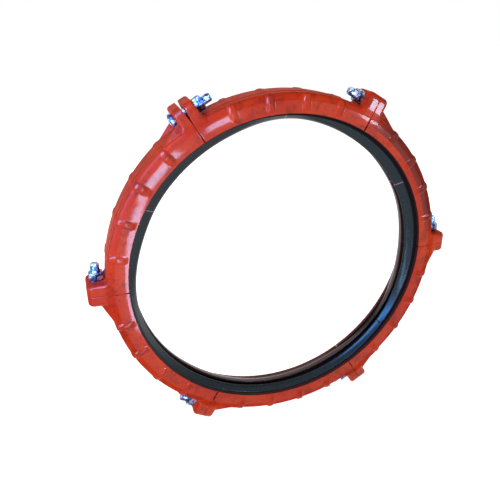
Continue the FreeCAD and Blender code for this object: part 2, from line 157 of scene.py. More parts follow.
def make_piece(name, surfaces, sharp_degrees=CASTING_SHARP):
    """Joins surfaces, in millimetres, into one smooth-shaded object in metres at the origin."""
    starts = np.cumsum([0] + [len(points) for points, _, _ in surfaces])
    points = np.vstack([points for points, _, _ in surfaces]) * MM
    corners = [quads.ravel() + start for (_, quads, _), start in zip(surfaces, starts)]
    sizes = [np.full(len(quads), 4) for _, quads, _ in surfaces]
    for (_, _, caps), start in zip(surfaces, starts):
        corners += [cap + start for cap in caps]
        sizes += [np.array([len(cap)]) for cap in caps]
    corners, sizes = np.concatenate(corners), np.concatenate(sizes)
    mesh = bpy.data.meshes.new(name)
    mesh.vertices.add(len(points))
    mesh.vertices.foreach_set("co", points.astype(np.float32).ravel())
    mesh.loops.add(len(corners))
    mesh.loops.foreach_set("vertex_index", corners.astype(np.int32))
    mesh.polygons.add(len(sizes))
    mesh.polygons.foreach_set("loop_start", (np.cumsum(sizes) - sizes).astype(np.int32))
    mesh.update(calc_edges=True)
    mesh.validate()
    mesh.shade_smooth()
    mesh.set_sharp_from_angle(angle=math.radians(sharp_degrees))
    piece = bpy.data.objects.new(name, mesh)
    bpy.context.scene.collection.objects.link(piece)
    return piece


# %% Places on the ring
def around(radius, y, angle):
    """Points at a radius and an angle about the pipe's axis, and at y along it."""
    radius, y, angle = np.broadcast_arrays(radius, y, angle)
    return np.stack([radius * np.cos(angle), y, radius * np.sin(angle)], axis=-1)


def turned(points, angle):
    """The same points turned about the pipe's axis."""
    c, s = math.cos(angle), math.sin(angle)
    x, y, z = points[..., 0], points[..., 1], points[..., 2]
    return np.stack([c * x - s * z, y, s * x + c * z], axis=-1)


def smooth_step(x):
    """0 below 0, 1 above 1, and the cubic 3x^2 - 2x^3 between them."""
    x = np.clip(x, 0.0, 1.0)
    return x * x * (3.0 - 2.0 * x)


print("a bolt's place at 60 degrees", around(BOLT_CIRCLE, 0.0, 2 * HALF_ANGLE).round(1).tolist())

# %% [markdown]
# ## The section of a casting
#
# Sand castings have no sharp edges: sand can't hold them, and iron doesn't fill them. So the section
# is written as its corners, each with a radius, and one function puts an arc in place of each
# corner. The arc touches both sides at the distance radius / tan(half the corner's angle).
#
# The straight runs between the arcs are then divided evenly, because the ribs that come later need
# points to lift.

# %% Outlines with rounded corners
def rounded(corners, arc_points=5):
    """Closed outline through corners (x, y, radius), with a true arc at each that has a radius."""
    corners = np.array(corners, float)
    here, before, after = corners[:, :2], np.roll(corners[:, :2], 1, 0), np.roll(corners[:, :2], -1, 0)
    toward = (before - here) / np.linalg.norm(before - here, axis=1, keepdims=True)
    away = (after - here) / np.linalg.norm(after - here, axis=1, keepdims=True)
    half = np.arccos(np.clip((toward * away).sum(1), -1, 1)) / 2
    radius = corners[:, 2]
    middle = toward + away
    middle /= np.maximum(np.linalg.norm(middle, axis=1, keepdims=True), 1e-9)
    centre = here + middle * (radius / np.sin(half))[:, None]
    start = here + toward * (radius / np.tan(half))[:, None] - centre
    end = here + away * (radius / np.tan(half))[:, None] - centre
    share = np.linspace(0, 1, arc_points)[None, :, None]
    sweep = (math.pi - 2 * half)[:, None, None]
    chord = np.sin((1 - share) * sweep) * start[:, None] + np.sin(share * sweep) * end[:, None]
    arcs = centre[:, None] + chord / np.sin(sweep)
    sharp = np.repeat(here[:, None], arc_points, axis=1)
    outline = np.where(radius[:, None, None] > 0, arcs, sharp).reshape(-1, 2)
    step = np.linalg.norm(outline - np.roll(outline, 1, 0), axis=1)
    return outline[step > 1e-6]


def divided(outline, longest):
    """The same closed outline, its long runs cut into equal steps no longer than a length."""
    after = np.roll(outline, -1, 0)
    counts = np.maximum(np.ceil(np.linalg.norm(after - outline, axis=1) / longest), 1).astype(int)
    run = np.repeat(np.arange(len(outline)), counts)
    first = np.repeat(np.cumsum(counts) - counts, counts)
    share = ((np.arange(counts.sum()) - first) / counts[run])[:, None]
    return outline[run] * (1 - share) + after[run] * share


def outline_normals(outline):
    """Outward normals of a closed outline: its direction at each point, turned a quarter."""
    along = np.roll(outline, -1, 0) - np.roll(outline, 1, 0)
    along /= np.linalg.norm(along, axis=1, keepdims=True)
    normals = np.stack([along[:, 1], -along[:, 0]], axis=-1)
    x, y = outline.T
    area = (x * np.roll(y, -1) - np.roll(x, -1) * y).sum()
    return normals * np.sign(area)


def mirrored(corners):
    """The other half of a section: the same corners in reverse order, at y turned to -y."""
    return [(x, -y, r) for x, y, r in reversed(corners)]


# %% The casting's section
# The side faces bow out by a little at their crown, which breaks up their gloss.
FACE_BOW = 0.6
FACE_CROWN = KEY_RADIUS + 12.0
CROWN_ROUNDING = 220.0
CHANNEL_STEP = 2.2
outer_half = [
    (KEY_RADIUS, KEY_INSIDE, 1.0),
    (KEY_RADIUS, HALF_WIDTH - FACE_BOW, 1.4),
    (FACE_CROWN, HALF_WIDTH, CROWN_ROUNDING),
    (FACE_RADIUS, HALF_WIDTH - FACE_BOW, 5.0),
    (WALL_RADIUS, SHOULDER_Y, 8.0),
    (WALL_RADIUS, BAND_HALF + BAND_SLOPE, 1.2),
    (WALL_RADIUS + BAND_HEIGHT, BAND_HALF, 1.2),
]
inner_half = [(ROOF_RADIUS, ROOF_HALF, 2.0), (CHANNEL_WALL_TOP, KEY_INSIDE, 2.0)]
channel_corners = outer_half + mirrored(outer_half) + mirrored(inner_half) + inner_half
channel = divided(rounded(channel_corners), CHANNEL_STEP)
channel_normals = outline_normals(channel)
print("points in the casting's section", len(channel))

# %% [markdown]
# ## Ribs that grow out of the skin
#
# The four ribs could be separate bars pushed into the channel, but then a hard crease would show
# where they meet it. Here they are part of the same surface: each point of the channel is lifted
# along its normal by the rib's height there. Two smooth steps shape that height. One depends on the
# distance from the rib's middle line, and gives it sloped sides. The other starts the rib a little
# above the key. From there it gets higher towards the shoulder, and over the wall it is low.

# %% The channel with its ribs
RIB_COUNT = 4
RIB_SPACING = math.radians(12.0)
RIB_ANGLES = (np.arange(RIB_COUNT) - (RIB_COUNT - 1) / 2) * RIB_SPACING
RIB_FOOT, RIB_TOP = 8.6, 2.8
RIB_FACE_HEIGHT, RIB_WALL_HEIGHT = 3.4, 1.3
RIB_START = KEY_RADIUS + 3.5
RIB_RUNOUT = 5.0
RIB_START_SHARE = 0.3
# The channel's ends: their rounding, and the gap that is left between two of them.
END_ROUNDING = 1.2
END_GAP = 0.8
STEPS_ALONG = 241


def rib_lift(radius, y, normals, angle):
    """Height of the ribs: a step down from top to foot across, and a rise towards the wall along."""
    along = radius[..., None] * (angle[..., None] - RIB_ANGLES)
    across = smooth_step((RIB_FOOT - np.abs(along)) / (RIB_FOOT - RIB_TOP)).max(axis=-1)
    ellipse = np.hypot(RIB_FACE_HEIGHT * normals[:, 1], RIB_WALL_HEIGHT * np.clip(normals[:, 0], 0, 1))
    outside = (np.abs(y) > KEY_INSIDE + 1.0) | (radius > ROOF_RADIUS + 2.0)
    ramp = np.clip((radius - RIB_START) / (FACE_RADIUS - RIB_START), 0, 1)
    start = smooth_step((radius - RIB_START) / RIB_RUNOUT) * (RIB_START_SHARE + (1 - RIB_START_SHARE) * ramp)
    return across * ellipse * outside * start


def channel_surface():
    """The section carried round by angle, its rounded ends just short of the parting planes."""
    fine = np.linspace(-1, 1, STEPS_ALONG)
    tip = np.linspace(0, math.pi / 2, 4)[1:]
    inset = END_ROUNDING * (1 - np.cos(tip))
    back = END_ROUNDING * (1 - np.sin(tip))
    radius, y = channel[:, 0], channel[:, 1]
    stop = HALF_ANGLE - np.arcsin((END_GAP / 2 + END_ROUNDING) / radius)
    angle = fine[:, None] * stop[None, :]
    lift = rib_lift(radius[None, :], y[None, :], channel_normals, angle)
    ring = around(radius + lift * channel_normals[:, 0], y + lift * channel_normals[:, 1], angle)
    ends = []
    for k in range(len(tip)):
        moved = channel - channel_normals * inset[k]
        reach = HALF_ANGLE - np.arcsin((END_GAP / 2 + back[k]) / moved[:, 0])
        ends.append((moved, reach))
    low = [around(moved[:, 0], moved[:, 1], -reach) for moved, reach in reversed(ends)]
    high = [around(moved[:, 0], moved[:, 1], reach) for moved, reach in ends]
    return closed_surface(np.concatenate([low, ring, high]), capped=True)


channel_part = channel_surface()
print("points in one channel", len(channel_part[0]))

# %% [markdown]
# ## Ears
#
# An ear is a thick plate with a bolt hole. Its grid runs round the hole in one direction. In the
# other it starts at the edge of the hole, goes out over the parting face, over the rim, back in over
# the bolt's seat, and through the hole to where it began. That closed path makes the hole without
# cutting anything.
#
# Where the ear stands on the wall it gets thicker in a curve, which is the fillet that a pattern maker
# puts in such a corner so that the iron doesn't crack there.

# %% Polar outline of a plate
HOLE_HALF_WIDTH, HOLE_HALF_LENGTH = 9.0, 12.0
EAR_CORNER = 12.0
# Gap between two closed ears, and the rounding of the rims that face each other there.
EAR_GAP = 0.5
EAR_RIM = 0.9
EAR_BACK_ROUNDING = 6.5
EAR_FILLET = 5.0
# Radii at which the ear ends inside the casting's iron: under the wall, and in the two side walls.
EAR_SHANK = WALL_RADIUS - 7.7
EAR_ROOT = FACE_RADIUS - 2.0
SPOKES = 120
spoke = np.linspace(0, 2 * math.pi, SPOKES, endpoint=False)


def reach_of(outline, angles):
    """Distance from the origin to a closed outline in given directions."""
    turn = np.arctan2(outline[:, 1], outline[:, 0])
    order = np.argsort(turn)
    return np.interp(angles, turn[order], np.hypot(*outline.T)[order], period=2 * math.pi)


half_ear = [
    (EAR_SHANK - BOLT_CIRCLE, 21.0, 0.0),
    (EAR_ROOT - BOLT_CIRCLE, 31.5, 0.0),
    (EAR_ROOT - BOLT_CIRCLE, HALF_WIDTH - FACE_BOW, 0.0),
    (EAR_RADIUS - BOLT_CIRCLE, EAR_HALF, EAR_CORNER),
]
ear_reach = reach_of(divided(rounded(half_ear + mirrored(half_ear), 14), 1.0), spoke)
slot_run = HOLE_HALF_LENGTH - HOLE_HALF_WIDTH
slot_angles = np.linspace(0, 2 * math.pi, 181)[:-1]
slot_x = HOLE_HALF_WIDTH * np.cos(slot_angles)
slot_y = HOLE_HALF_WIDTH * np.sin(slot_angles) + slot_run * np.sign(np.sin(slot_angles))
hole_reach = reach_of(divided(np.stack([slot_x, slot_y], axis=-1), 0.5), spoke)
print("ear reaches", round(ear_reach.min(), 1), "to", round(ear_reach.max(), 1), "mm from its bolt")

# %% The ear's surface
def ear_surface(side, opening):
    """Rings of points round the hole: parting face, rim, seat, then back through the hole."""
    parting, seat = EAR_GAP / 2, SEAT
    rim, back = EAR_RIM, EAR_BACK_ROUNDING
    quarter = np.linspace(0, math.pi / 2, 6)
    flat = np.linspace(0, 1, 9)
    rings = [(hole_reach + f * (ear_reach - rim - hole_reach), parting) for f in flat[:-1]]
    rings += [(ear_reach - rim + rim * math.sin(a), parting + rim - rim * math.cos(a)) for a in quarter]
    rings += [(ear_reach, d) for d in np.linspace(parting + rim, seat - back, 6)[1:-1]]
    rings += [(ear_reach - back + back * math.cos(a), seat - back + back * math.sin(a)) for a in quarter]
    rings += [(hole_reach + f * (ear_reach - back - hole_reach), seat) for f in flat[::-1][1:]]
    rings += [(hole_reach, d) for d in np.linspace(seat, parting, 6)[1:-1]]
    reach = np.array([np.broadcast_to(r, spoke.shape) for r, _ in rings])
    depth = np.array([d for _, d in rings])[:, None] + np.zeros_like(reach)
    radius = BOLT_CIRCLE + reach * np.cos(spoke)
    y = reach * np.sin(spoke)
    above = np.clip((radius - WALL_RADIUS) / EAR_FILLET, 0, 1)
    fillet = EAR_FILLET * (1 - np.sqrt(1 - (1 - above) ** 2))
    depth = depth + fillet * (depth > (parting + seat) / 2)
    lean = np.clip((radius - WALL_RADIUS) / (EAR_RADIUS - WALL_RADIUS), 0, 1)
    depth = depth + opening * lean * np.clip((seat - depth) / (seat - parting), 0, 1)
    grid = np.stack([radius, y, side * -depth], axis=-1)
    return closed_surface(turned(grid, side * HALF_ANGLE), wrap_rows=True)


print("points in one ear", len(ear_surface(1, 0.0)[0]))

# %% [markdown]
# ## Webs
#
# An ear that takes a bolt's head has a long web on each side of it. The web ties the ear to the wall.
# It is a ridge that slopes down from the ear along the ring. Across, its height is a smooth bump. An
# ear that takes a nut has none, so that a wrench can get at it.

# %% The web's surface
WEB_Y = 24.5
WEB_HEIGHT = 14.0
WEB_RUN = 44.0
WEB_SPREAD = 6.5
WEB_FALL = 1.2
# Shares: of the run, the part that is buried in the ear, and of the spread, the level crest.
WEB_BURIED, WEB_CREST = 0.12, 0.25
# Lift at the ear, how far the toe and the sides sink into the wall, and how far the base lies under it.
WEB_LIFT, TOE_SINK, SIDE_SINK, BASE_DEPTH = 0.6, 0.5, 0.6, 4.0


def web_surface(side, y_middle):
    """A ridge whose top is the wall plus height * (1 - run)^fall, closed by a buried base."""
    run = np.linspace(-WEB_BURIED, 1, 26)
    across = np.linspace(-1, 1, 21)
    depth = SEAT + WEB_RUN * run
    height = WEB_HEIGHT * np.clip(1 - run, 0, 1) ** WEB_FALL + WEB_LIFT * (1 - smooth_step(run)) - TOE_SINK
    bump = 0.5 + 0.5 * np.cos(math.pi * np.clip((np.abs(across) - WEB_CREST) / (1 - WEB_CREST), 0, 1))
    wall = np.sqrt((WALL_RADIUS - 0.2) ** 2 - depth**2)
    top = wall[:, None] + height[:, None] * bump[None, :] - SIDE_SINK * (1 - bump[None, :])
    base = np.repeat((wall - BASE_DEPTH)[:, None], len(across), axis=1)
    radius = np.hstack([top, base])
    y = np.concatenate([across, across[::-1]]) * WEB_SPREAD + y_middle
    grid = np.stack([radius, y + 0 * radius, side * -depth[:, None] + 0 * radius], axis=-1)
    return closed_surface(turned(grid, side * HALF_ANGLE), capped=True)


print("points in one web", len(web_surface(1, WEB_Y)[0]))

# %% [markdown]
# ## Six castings
#
# A casting is the channel with two ears and, beside each bolt head, two webs. They cross each other
# inside the iron, so that only the outer skins show. One joint stands a little open at its outer
# end, as on the real ring: the sides of its two ears that face each other lean back there.

# %% The six castings
# The joint that stands open, and how far each of its two ears leans back at the outer end.
OPEN_JOINT = 3
OPEN_EAR = 3.0


def moved_surface(surface, angle):
    """A surface carried to another place on the ring."""
    points, quads, caps = surface
    return turned(points, angle), quads, caps


def casting_surfaces(number):
    """One casting at its place: the channel, an ear at each end, and webs beside a bolt's head."""
    surfaces = [channel_part]
    for side, joint in ((1, number % SEGMENTS + 1), (-1, number)):
        surfaces.append(ear_surface(side, OPEN_EAR if joint == OPEN_JOINT else 0.0))
        if NUT_SIDES[joint - 1] == side:
            surfaces += [web_surface(side, y) for y in (WEB_Y, -WEB_Y)]
    return [moved_surface(surface, (2 * number - 1) * HALF_ANGLE) for surface in surfaces]


castings = []
for number in range(1, SEGMENTS + 1):
    casting = make_piece(f"casting_{number}", casting_surfaces(number))
    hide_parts(f"housing_segment_{number}")
    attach(casting, "root")
    castings.append(casting)
print("faces in one casting", len(castings[0].data.polygons))

# %% [markdown]
# ## The gasket
#
# The gasket is one rubber ring with two lips and a hollow behind them. Its section is an outline with
# rounded corners, carried all the way round. Rubber this large never lies in a true circle: the
# lips lean in more at some places and less at others. Each sag is a soft bump with a middle, a
# reach and a rise. A lip's inner radius is its moulded radius plus a few of them, and only the
# points near the lips follow.

# %% The gasket's section
LIP_RADIUS = 290.0
FRONT_TIP, REAR_TIP = 9.0, 7.0
GASKET_CLEARANCE = 0.3
GASKET_SIDE = KEY_INSIDE - GASKET_CLEARANCE
GASKET_SHOULDER = CHANNEL_WALL_TOP - GASKET_CLEARANCE
GASKET_BACK_HALF = ROOF_HALF - GASKET_CLEARANCE
GASKET_BACK = ROOF_RADIUS - 0.4
GASKET_HOLLOW = ROOF_RADIUS - 9.3
LEG_THICKNESS, LIP_THICKNESS = 6.5, 6.0
front_face = [(LIP_RADIUS + 9.5, -GASKET_SIDE, 3.5)]
rear_face = [(LIP_RADIUS + 4.0, GASKET_SIDE, 2.5), (LIP_RADIUS + 0.3, REAR_TIP + 9.0, 8.0)]


def lip_inside(tip):
    """Corners from a lip's tip back into the channel behind it."""
    return [
        (LIP_RADIUS, tip, 1.2),
        (LIP_RADIUS + LIP_THICKNESS, tip, 1.5),
        (LIP_RADIUS + 11.5, GASKET_SIDE - LEG_THICKNESS, 3.0),
        (GASKET_HOLLOW, 12.2, 3.0),
    ]


shoulder = [(GASKET_SHOULDER, GASKET_SIDE, 1.0)]
back_corner = [(GASKET_BACK, GASKET_BACK_HALF, 1.5)]
rear_part = shoulder + rear_face + lip_inside(REAR_TIP)
front_part = mirrored(lip_inside(FRONT_TIP)) + front_face + mirrored(shoulder)
gasket_corners = rear_part + front_part + mirrored(back_corner) + back_corner
gasket_outline = divided(rounded(gasket_corners), 2.0)
print("points in the gasket's section", len(gasket_outline))

# %% The lips' sag
# Middle and reach in degrees round the ring, then the rise in millimetres, less than 0 where it is inward.
FRONT_SAGS = [(45, 58, -14.0), (-3, 38, -8.0), (118, 36, -10.0), (155, 42, -11.5), (-75, 72, 3.4)]
REAR_SAGS = [(38, 45, -10.5), (0, 30, -6.0), (93, 25, 2.0), (-45, 50, 8.0), (-95, 42, 6.5)]


def soft_bump(angle, middle, reach):
    """1 at the middle, 0 from the reach on, and half a cosine wave between them."""
    away = np.abs((np.degrees(angle) - middle + 180.0) % 360.0 - 180.0)
    return 0.5 + 0.5 * np.cos(math.pi * np.clip(away / reach, 0, 1))


def sagged_radius(angle, sags):
    """Inner radius of a lip: its moulded radius plus the rise of each bump there."""
    return LIP_RADIUS + sum(rise * soft_bump(angle, middle, reach) for middle, reach, rise in sags)


print("front lip's inner radius at 45 degrees", sagged_radius(math.radians(45), FRONT_SAGS).round(1))

# %% The gasket's surface
STEPS_ROUND = 480
gasket_angle = np.linspace(0, 2 * math.pi, STEPS_ROUND, endpoint=False)[:, None]
g_radius, g_y = gasket_outline.T
# A point follows its lip fully at the lip's own radius, and not at all next to the keys.
lean = smooth_step((KEY_RADIUS - 1.0 - g_radius) / (KEY_RADIUS - LIP_RADIUS - 3.0))
front_lip, rear_lip = sagged_radius(gasket_angle, FRONT_SAGS), sagged_radius(gasket_angle, REAR_SAGS)
lip_radius = np.where(g_y[None, :] < 0, front_lip, rear_lip)
moved_radius = g_radius[None, :] + lean[None, :] * (lip_radius - LIP_RADIUS)
gasket_grid = around(moved_radius, g_y[None, :], gasket_angle)
gasket = make_piece("moulded_gasket", [closed_surface(gasket_grid, wrap_rows=True)])
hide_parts("gasket")
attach(gasket, "root")
print("faces in the gasket", len(gasket.data.polygons))

# %% [markdown]
# ## Bolts and nuts
#
# A bolt is a profile turned about its own axis. Its thread is in the same grid: the radius falls and
# rises with z / pitch minus the turn, so that one turn moves the groove along by one pitch. A nut is
# a hexagon in polar form: its radius is half the flats divided by the cosine of the angle from the
# nearest flat, and a cone cuts the corners off. The neck under a bolt's head is left out, because it
# is hidden in the ear.

# %% Bolt
BOLT_RADIUS = 8.0
PITCH = 2.0
NUT_HEIGHT = 16.0
BOLT_PROJECTION = 16.0
BOLT_END = SEAT + NUT_HEIGHT + BOLT_PROJECTION
BOLT_CHAMFER = 1.6
THREAD_DEPTH = 0.62
HEAD_RADIUS, HEAD_HEIGHT, HEAD_RIM = 14.0, 10.0, 3.5
bolt_turn = np.linspace(0, 2 * math.pi, 48, endpoint=False)


def bolt_surface():
    """Radius as a function of z. On the thread, a groove follows the cosine of z / pitch - turn."""
    dome = np.linspace(0, 1, 10)
    rim = HEAD_HEIGHT - HEAD_RIM
    dome_z = -SEAT - HEAD_HEIGHT + rim * (1 - np.sqrt(1 - np.clip(dome, 0, 0.995) ** 2))
    z = [dome_z, [-SEAT - 1.2, -SEAT - 0.3, -SEAT, -SEAT, -SEAT + 6.0]]
    under_head = [HEAD_RADIUS, HEAD_RADIUS - 0.3, HEAD_RADIUS - 1.0, BOLT_RADIUS, BOLT_RADIUS]
    radius = [HEAD_RADIUS * dome, under_head]
    thread_z = np.arange(SEAT + 4.0, BOLT_END - BOLT_CHAMFER, PITCH / 8)
    z += [thread_z, [BOLT_END - BOLT_CHAMFER, BOLT_END, BOLT_END]]
    radius += [np.full(len(thread_z), BOLT_RADIUS), [BOLT_RADIUS - 0.9, BOLT_RADIUS - 1.9, 0.0]]
    z, radius = np.concatenate(z), np.concatenate(radius)
    threaded = smooth_step((z - SEAT - 5.0) / 1.5) * (z < BOLT_END - 1.5)
    wave = np.cos(2 * math.pi * z[:, None] / PITCH - bolt_turn[None, :])
    depth = THREAD_DEPTH * (0.5 - 0.5 * wave) * threaded[:, None]
    reach = np.maximum(radius[:, None] - depth, 0.02)
    x, y = reach * np.cos(bolt_turn), reach * np.sin(bolt_turn)
    return closed_surface(np.stack([x, y, z[:, None] + 0 * x], axis=-1), capped=True)


print("bolt", round(BOLT_END + SEAT + HEAD_HEIGHT, 1), "mm long,", len(bolt_surface()[0]), "points")

# %% Nut
FLATS = 24.0
CONE_DEGREES = 30
nut_turn = np.linspace(0, 2 * math.pi, 96, endpoint=False)


def nut_surface():
    """Rings from the bore out over the seat, up the hexagon's sides, over the top and back down."""
    from_flat = (nut_turn + math.pi / 6) % (math.pi / 3) - math.pi / 6
    hexagon = FLATS / 2 / np.cos(from_flat)
    # The bolt fills the bore, so no thread shows in it.
    bore = BOLT_RADIUS - 0.1
    low, high = SEAT, SEAT + NUT_HEIGHT
    top_cone = FLATS / 2 - 0.4
    fall = math.tan(math.radians(CONE_DEGREES))
    drop = np.maximum(hexagon - top_cone, 0) * fall
    washer = np.minimum(hexagon, FLATS / 2 - 0.3)
    rows = [
        (bore + 0 * hexagon, low + 1.0 + 0 * hexagon),
        (bore + 1.0 + 0 * hexagon, low + 0 * hexagon),
        (washer, low + 0 * hexagon),
        (hexagon, low + 0.3 + np.maximum(hexagon - washer, 0) * fall),
        (hexagon, low + 5.0 + 0 * hexagon),
        (hexagon, high - 5.0 + 0 * hexagon),
        (hexagon, high - drop),
        (top_cone + 0 * hexagon, high + 0 * hexagon),
        (bore + 1.0 + 0 * hexagon, high + 0 * hexagon),
        (bore + 0 * hexagon, high - 1.0 + 0 * hexagon),
    ]
    reach = np.array([r for r, _ in rows])
    z = np.array([h for _, h in rows])
    grid = np.stack([reach * np.cos(nut_turn), reach * np.sin(nut_turn), z], axis=-1)
    return closed_surface(grid, wrap_rows=True)


print("points in one nut", len(nut_surface()[0]))

# %% Six bolts and six nuts at their joints
# Each bolt is rolled on by this many radians, so that no two threads start alike.
BOLT_ROLL = 0.7


def at_joint(surface, number, roll):
    """Stands a bolt or nut on the bolt circle of a joint, rolled about itself and on its own side."""
    points, quads, caps = surface
    side = NUT_SIDES[number - 1]
    c, s = math.cos(roll), math.sin(roll)
    x, y, z = points.T
    x, y = c * x - s * y, s * x + c * y
    placed = np.stack([BOLT_CIRCLE + x, side * y, side * z], axis=-1)
    return turned(placed, (number - 1) * 2 * HALF_ANGLE), quads, caps


fasteners = []
for number in range(1, SEGMENTS + 1):
    for kind, surface, roll in (("bolt", bolt_surface(), BOLT_ROLL * number), ("nut", nut_surface(), 0.0)):
        node = f"track_bolt_{number}" if kind == "bolt" else f"nut_{number}"
        piece = make_piece(f"zinc_{kind}_{number}", [at_joint(surface, number, roll)], ZINC_SHARP)
        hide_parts(node)
        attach(piece, "root")
        fasteners.append(piece)
print("bolts and nuts", len(fasteners))

# %% [markdown]
# ## Writing shader maths as expressions
#
# A material is a graph of nodes. Drawn by hand, even a small sum takes many boxes and wires. Here a
# tiny class wraps a socket, so that mask * 0.5 + 1 adds the Math nodes by itself. Other nodes come
# from one method that takes the node's type, its settings and its inputs.

# %% A material graph
class Graph:
    """The nodes of one material or world, with a method that adds any node."""

    def __init__(self, owner):
        self.owner = owner
        self.owner.use_nodes = True
        self.tree = owner.node_tree
        self.tree.nodes.clear()

    def add(self, kind, settings=None, output=0, **sockets):
        """Adds a node, sets it up, fills its sockets with values or links, and returns an output."""
        node = self.tree.nodes.new(kind)
        for name, setting in (settings or {}).items():
            setattr(node, name, setting)
        for name, value in sockets.items():
            key = int(name[1:]) if name[0] == "i" and name[1:].isdigit() else name.replace("_", " ")
            if isinstance(value, Value):
                self.tree.links.new(value.socket, node.inputs[key])
            else:
                node.inputs[key].default_value = value
        return Value(self, node.outputs[output], node)


# %% A socket that does maths
class Value:
    """A socket that can be added, multiplied and so on, with numbers or with other values."""

    def __init__(self, graph, socket, node):
        self.graph, self.socket, self.node = graph, socket, node

    def math(self, operation, *others, swap=False):
        """One Math node on this value and others."""
        inputs = [*others, self] if swap else [self, *others]
        sockets = {f"i{k}": v for k, v in enumerate(inputs)}
        return self.graph.add("ShaderNodeMath", {"operation": operation}, **sockets)

    def __add__(self, other):
        return self.math("ADD", other)

    __radd__ = __add__

    def __mul__(self, other):
        return self.math("MULTIPLY", other)

    __rmul__ = __mul__

    def __sub__(self, other):
        return self.math("SUBTRACT", other)

    def __rsub__(self, other):
        return self.math("SUBTRACT", other, swap=True)

    def __truediv__(self, other):
        return self.math("DIVIDE", other)

    def step(self, low, high):
        """0 below low, 1 above high, smooth between."""
        settings = {"interpolation_type": "SMOOTHSTEP"}
        return self.graph.add("ShaderNodeMapRange", settings, Value=self, From_Min=low, From_Max=high)

    def step_mm(self, low, high):
        """The same smooth step between two places in millimetres."""
        return self.step(low * MM, high * MM)


# %% Colours, noise and places
def mix_color(graph, factor, a, b):
    """A and B mixed by a factor, as colours."""
    return graph.add("ShaderNodeMix", {"data_type": "RGBA"}, output=2, i0=factor, i6=a, i7=b)


def noise(graph, place, scale, detail=3.0, rough=0.5):
    """Cloudy noise, its lumps about 1 / scale metres across."""
    return graph.add("ShaderNodeTexNoise", None, Vector=place, Scale=scale, Detail=detail, Roughness=rough)


def rgb(red, green, blue):
    """A colour as seen on a screen, 0 to 255, in the linear numbers that shading works with."""
    screen = np.array([red, green, blue]) / 255
    linear = np.where(screen <= 0.04045, screen / 12.92, ((screen + 0.055) / 1.055) ** 2.4)
    return (*linear.tolist(), 1.0)


def axes(graph, place):
    """The three numbers of a place, as values."""
    split = graph.add("ShaderNodeSeparateXYZ", None, Vector=place)
    return [Value(graph, split.node.outputs[k], split.node) for k in range(3)]


def finish_graph(graph, shader, kind="ShaderNodeOutputMaterial"):
    """Joins a shader to the output and hands back the material or world."""
    output = graph.tree.nodes.new(kind)
    graph.tree.links.new(shader.socket, output.inputs["Surface"])
    return graph.owner


print("middle grey of a screen in linear numbers", round(rgb(128, 128, 128)[0], 3))

# %% [markdown]
# ## Enamel on cast iron
#
# The paint is thick and glossy, but the iron under it is rough, so the gloss is never flat: broad
# reflections break up. Two bumps do that. A coarse one is the casting's own unevenness, and a fine
# one is the grain of the sand under the paint. The colour varies from place to place, with darker
# stains. The shoulder at one side of the ring and the keys' inner faces are darkened with painted
# shade.
#
# A full coat of gloss would mirror the white room everywhere and turn the red to pink. The coat is
# therefore strong only on the flat side faces and the sides of the ears. On the side faces, the tops
# of the ribs have less than half of it.

# %% Enamel
# Painted shade darkens the shoulder on the side of the ring at this angle.
PAINTED_SHADE_TURN = math.radians(32.0)
# Radii and distances from the middle, in millimetres, between which a mask goes from 0 to 1.
PAINTED_SHADE_EDGE, KEY_EDGE, EAR_FOOT = (313.5, 316.5), (301.4, 302.4), (339.0, 342.0)
EAR_SIDE, PLAIN_FACE, RIB_TOPS = (28.5, 30.0), (33.8, 34.2), (35.2, 35.6)


def enamel_material():
    """Orange-red gloss paint over sand-cast iron, with painted shade on a shoulder and the keys' inner
    faces.
    """
    g = Graph(bpy.data.materials.new("red_enamel_gloss"))
    place = g.add("ShaderNodeTexCoord", None, output=3)
    x, y, z = axes(g, place)
    radius = (x * x + z * z).math("SQRT")
    cloud = noise(g, place, 9.0, 3.0)
    speck = noise(g, place, 120.0, 4.0, 0.65)
    color = mix_color(g, cloud.step(0.35, 0.7), rgb(196, 44, 6), rgb(214, 62, 12))
    color = mix_color(g, speck.step(0.55, 0.75) * 0.5, color, rgb(96, 18, 14))
    stain = noise(g, place, 42.0, 4.0, 0.7).step(0.48, 0.68)
    color = mix_color(g, stain * 0.55, color, rgb(116, 28, 14))
    # Painted shade: the shoulder on the side turned to 32 degrees, away from the main light, is darkened,
    # more in some places than others.
    toward = (x * math.cos(PAINTED_SHADE_TURN) + z * math.sin(PAINTED_SHADE_TURN)) / radius
    painted_shade = toward.step(0.87, 0.955) * radius.step_mm(*PAINTED_SHADE_EDGE) * (0.45 + 0.5 * cloud)
    color = mix_color(g, painted_shade, color, rgb(80, 26, 22))
    # Painted shade: the keys' inner faces are darkened, near black on the front key and red-brown on the
    # rear one.
    key = 1.0 - radius.step_mm(*KEY_EDGE)
    painted_key_shade = mix_color(g, y.step_mm(-1.0, 1.0), rgb(22, 22, 26), rgb(98, 54, 50))
    color = mix_color(g, key * 0.94, color, painted_key_shade)
    out = y.math("ABSOLUTE")
    ear = radius.step_mm(*EAR_FOOT) * out.step_mm(*EAR_SIDE)
    plain = out.step_mm(*PLAIN_FACE) * (1.0 - out.step_mm(*RIB_TOPS) * 0.6)
    face = plain.math("MAXIMUM", ear) * (1.0 - key)
    rough = 0.5 - 0.12 * face + 0.12 * noise(g, place, 30.0, 2.0)
    height = noise(g, place, 34.0, 2.0) + noise(g, place, 210.0, 2.0) * 0.12
    bump = g.add("ShaderNodeBump", None, Height=height, Strength=0.4, Distance=0.0016)
    shader = g.add(
        "ShaderNodeBsdfPrincipled", None, Base_Color=color, Roughness=rough, Normal=bump,
        IOR=1.4, Specular_IOR_Level=0.1,
        Coat_Weight=face * 0.85 + 0.05, Coat_Roughness=0.1, Coat_IOR=1.3,
    )
    return finish_graph(g, shader)


